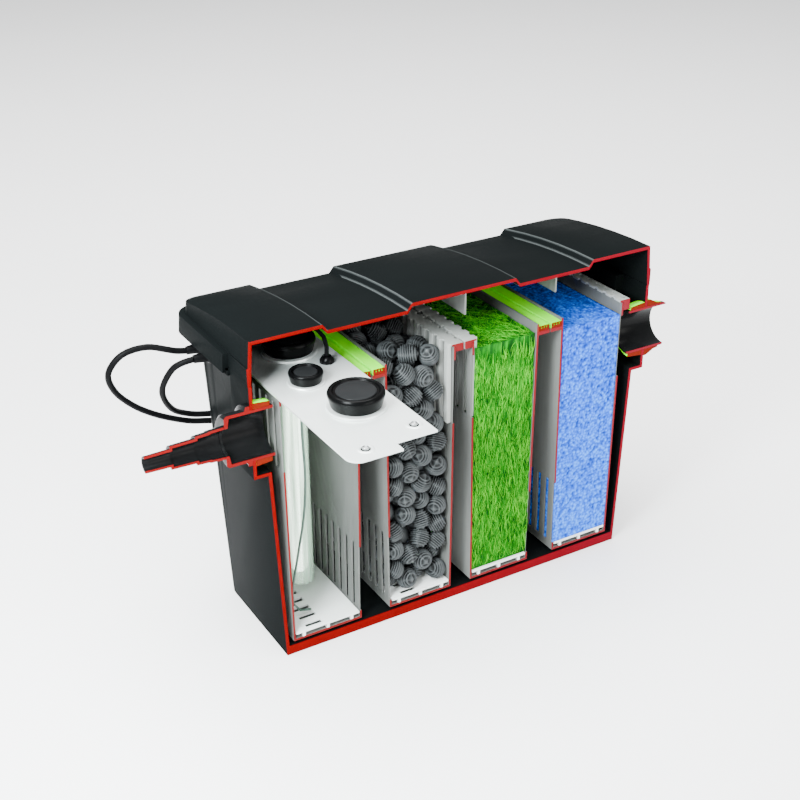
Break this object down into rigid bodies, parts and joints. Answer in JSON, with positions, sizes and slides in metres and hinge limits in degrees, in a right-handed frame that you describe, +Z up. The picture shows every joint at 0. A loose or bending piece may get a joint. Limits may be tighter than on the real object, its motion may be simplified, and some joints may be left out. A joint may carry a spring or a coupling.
{
  "type": "multi-chamber pond filter, half section",
  "caption": "Box-shaped pond filter cut open lengthwise, with a lamp chamber, lift-out media boxes, a lift-off arched lid, an inlet hose tail and a pipe outlet.",
  "frame": {"origin": "centre of the half tank's flat underside", "axes": "+Z up, +X along the tank from the inlet to the outlet, +Y away from the cut"},
  "size_m": [0.749, 0.5775, 0.4475],
  "materials": {
    "shell_black": "moulded charcoal polyethylene, fine grain, soft sheen",
    "box_grey": "mid-grey moulded plastic, satin",
    "grid_white": "white moulded plastic, satin",
    "seal_green": "bright green soft sealing rubber",
    "stainless": "light bead-blasted stainless sheet",
    "cap_black": "near-black plastic with a soft gloss",
    "port_black": "black moulded fitting, satin gloss",
    "quartz": "clear quartz",
    "lamp_white": "white glowing lamp tube",
    "ball_black": "black ribbed plastic balls",
    "mat_green": "green fibre mat, matted and rough",
    "foam_blue": "blue open-cell filter foam",
    "lead_black": "black rubber lead, satin",
    "tube_green": "dark green flexible tube"
  },
  "bodies": {
    "housing": {"tank": "shell_black", "inlet_union": "port_black", "inlet_hose_tail": "port_black", "inlet_gasket": "seal_green", "outlet_pipe": "port_black", "outlet_seal_inner": "seal_green", "outlet_seal_outer": "seal_green", "uv_box": "box_grey", "uv_grid": "grid_white", "uv_seal": "seal_green", "uv_plate": "stainless", "plate_screw_1": "stainless", "plate_screw_2": "stainless", "plate_screw_3": "stainless", "plate_screw_4": "stainless", "uv_cap_front_seat": "stainless", "uv_cap_rear_seat": "stainless", "drain_cap_seat": "stainless", "lead_gland": "port_black", "quartz_sleeve": "quartz", "uv_lamp": "lamp_white", "bent_tube": "tube_green", "lamp_lead": "lead_black", "strain_relief_1": "lead_black", "strain_relief_2": "lead_black", "supply_lead_1": "lead_black", "supply_lead_2": "lead_black", "lead_coil_1": "lead_black", "lead_coil_2": "lead_black", "plug_1": "lead_black", "plug_2": "lead_black", "lead_clip": "lead_black"},
    "lid": {"lid": "shell_black", "lid_rib_left": "box_grey", "lid_rib_right": "box_grey"},
    "front_cap": {"uv_cap_front": "cap_black"},
    "rear_cap": {"uv_cap_rear": "cap_black"},
    "small_cap": {"drain_cap": "cap_black"},
    "ball_insert": {"ball_box": "box_grey", "ball_grid": "grid_white", "ball_seal": "seal_green", "ball_comb": "box_grey", "bio_ball_pack": "ball_black"},
    "mat_insert": {"mat_box": "box_grey", "mat_grid": "grid_white", "mat_seal": "seal_green", "mat_comb": "box_grey", "green_mat": "mat_green"},
    "foam_insert": {"foam_box": "box_grey", "foam_grid": "grid_white", "foam_seal": "seal_green", "weir_bar": "box_grey", "blue_foam": "foam_blue"}
  },
  "joints": [
    {"name": "lid_lift", "type": "slide", "parent": "housing", "child": "lid", "axis": [0, 0, 1], "range_m": [0, 0.15]},
    {"name": "front_cap_turn", "type": "hinge", "parent": "housing", "child": "front_cap", "pos_m": [-0.2, -0.18, 0.39], "axis": [0, 0, 1], "range_deg": [0, 90]},
    {"name": "rear_cap_turn", "type": "hinge", "parent": "housing", "child": "rear_cap", "pos_m": [-0.2, -0.01, 0.39], "axis": [0, 0, 1], "range_deg": [0, 90]},
    {"name": "small_cap_turn", "type": "hinge", "parent": "housing", "child": "small_cap", "pos_m": [-0.22, -0.095, 0.39], "axis": [0, 0, 1], "range_deg": [0, 90]},
    {"name": "ball_box_lift", "type": "slide", "parent": "housing", "child": "ball_insert", "axis": [0, 0, 1], "range_m": [0, 0.02]},
    {"name": "mat_box_lift", "type": "slide", "parent": "housing", "child": "mat_insert", "axis": [0, 0, 1], "range_m": [0, 0.02]},
    {"name": "foam_box_lift", "type": "slide", "parent": "housing", "child": "foam_insert", "axis": [0, 0, 1], "range_m": [0, 0.02]}
  ]
}
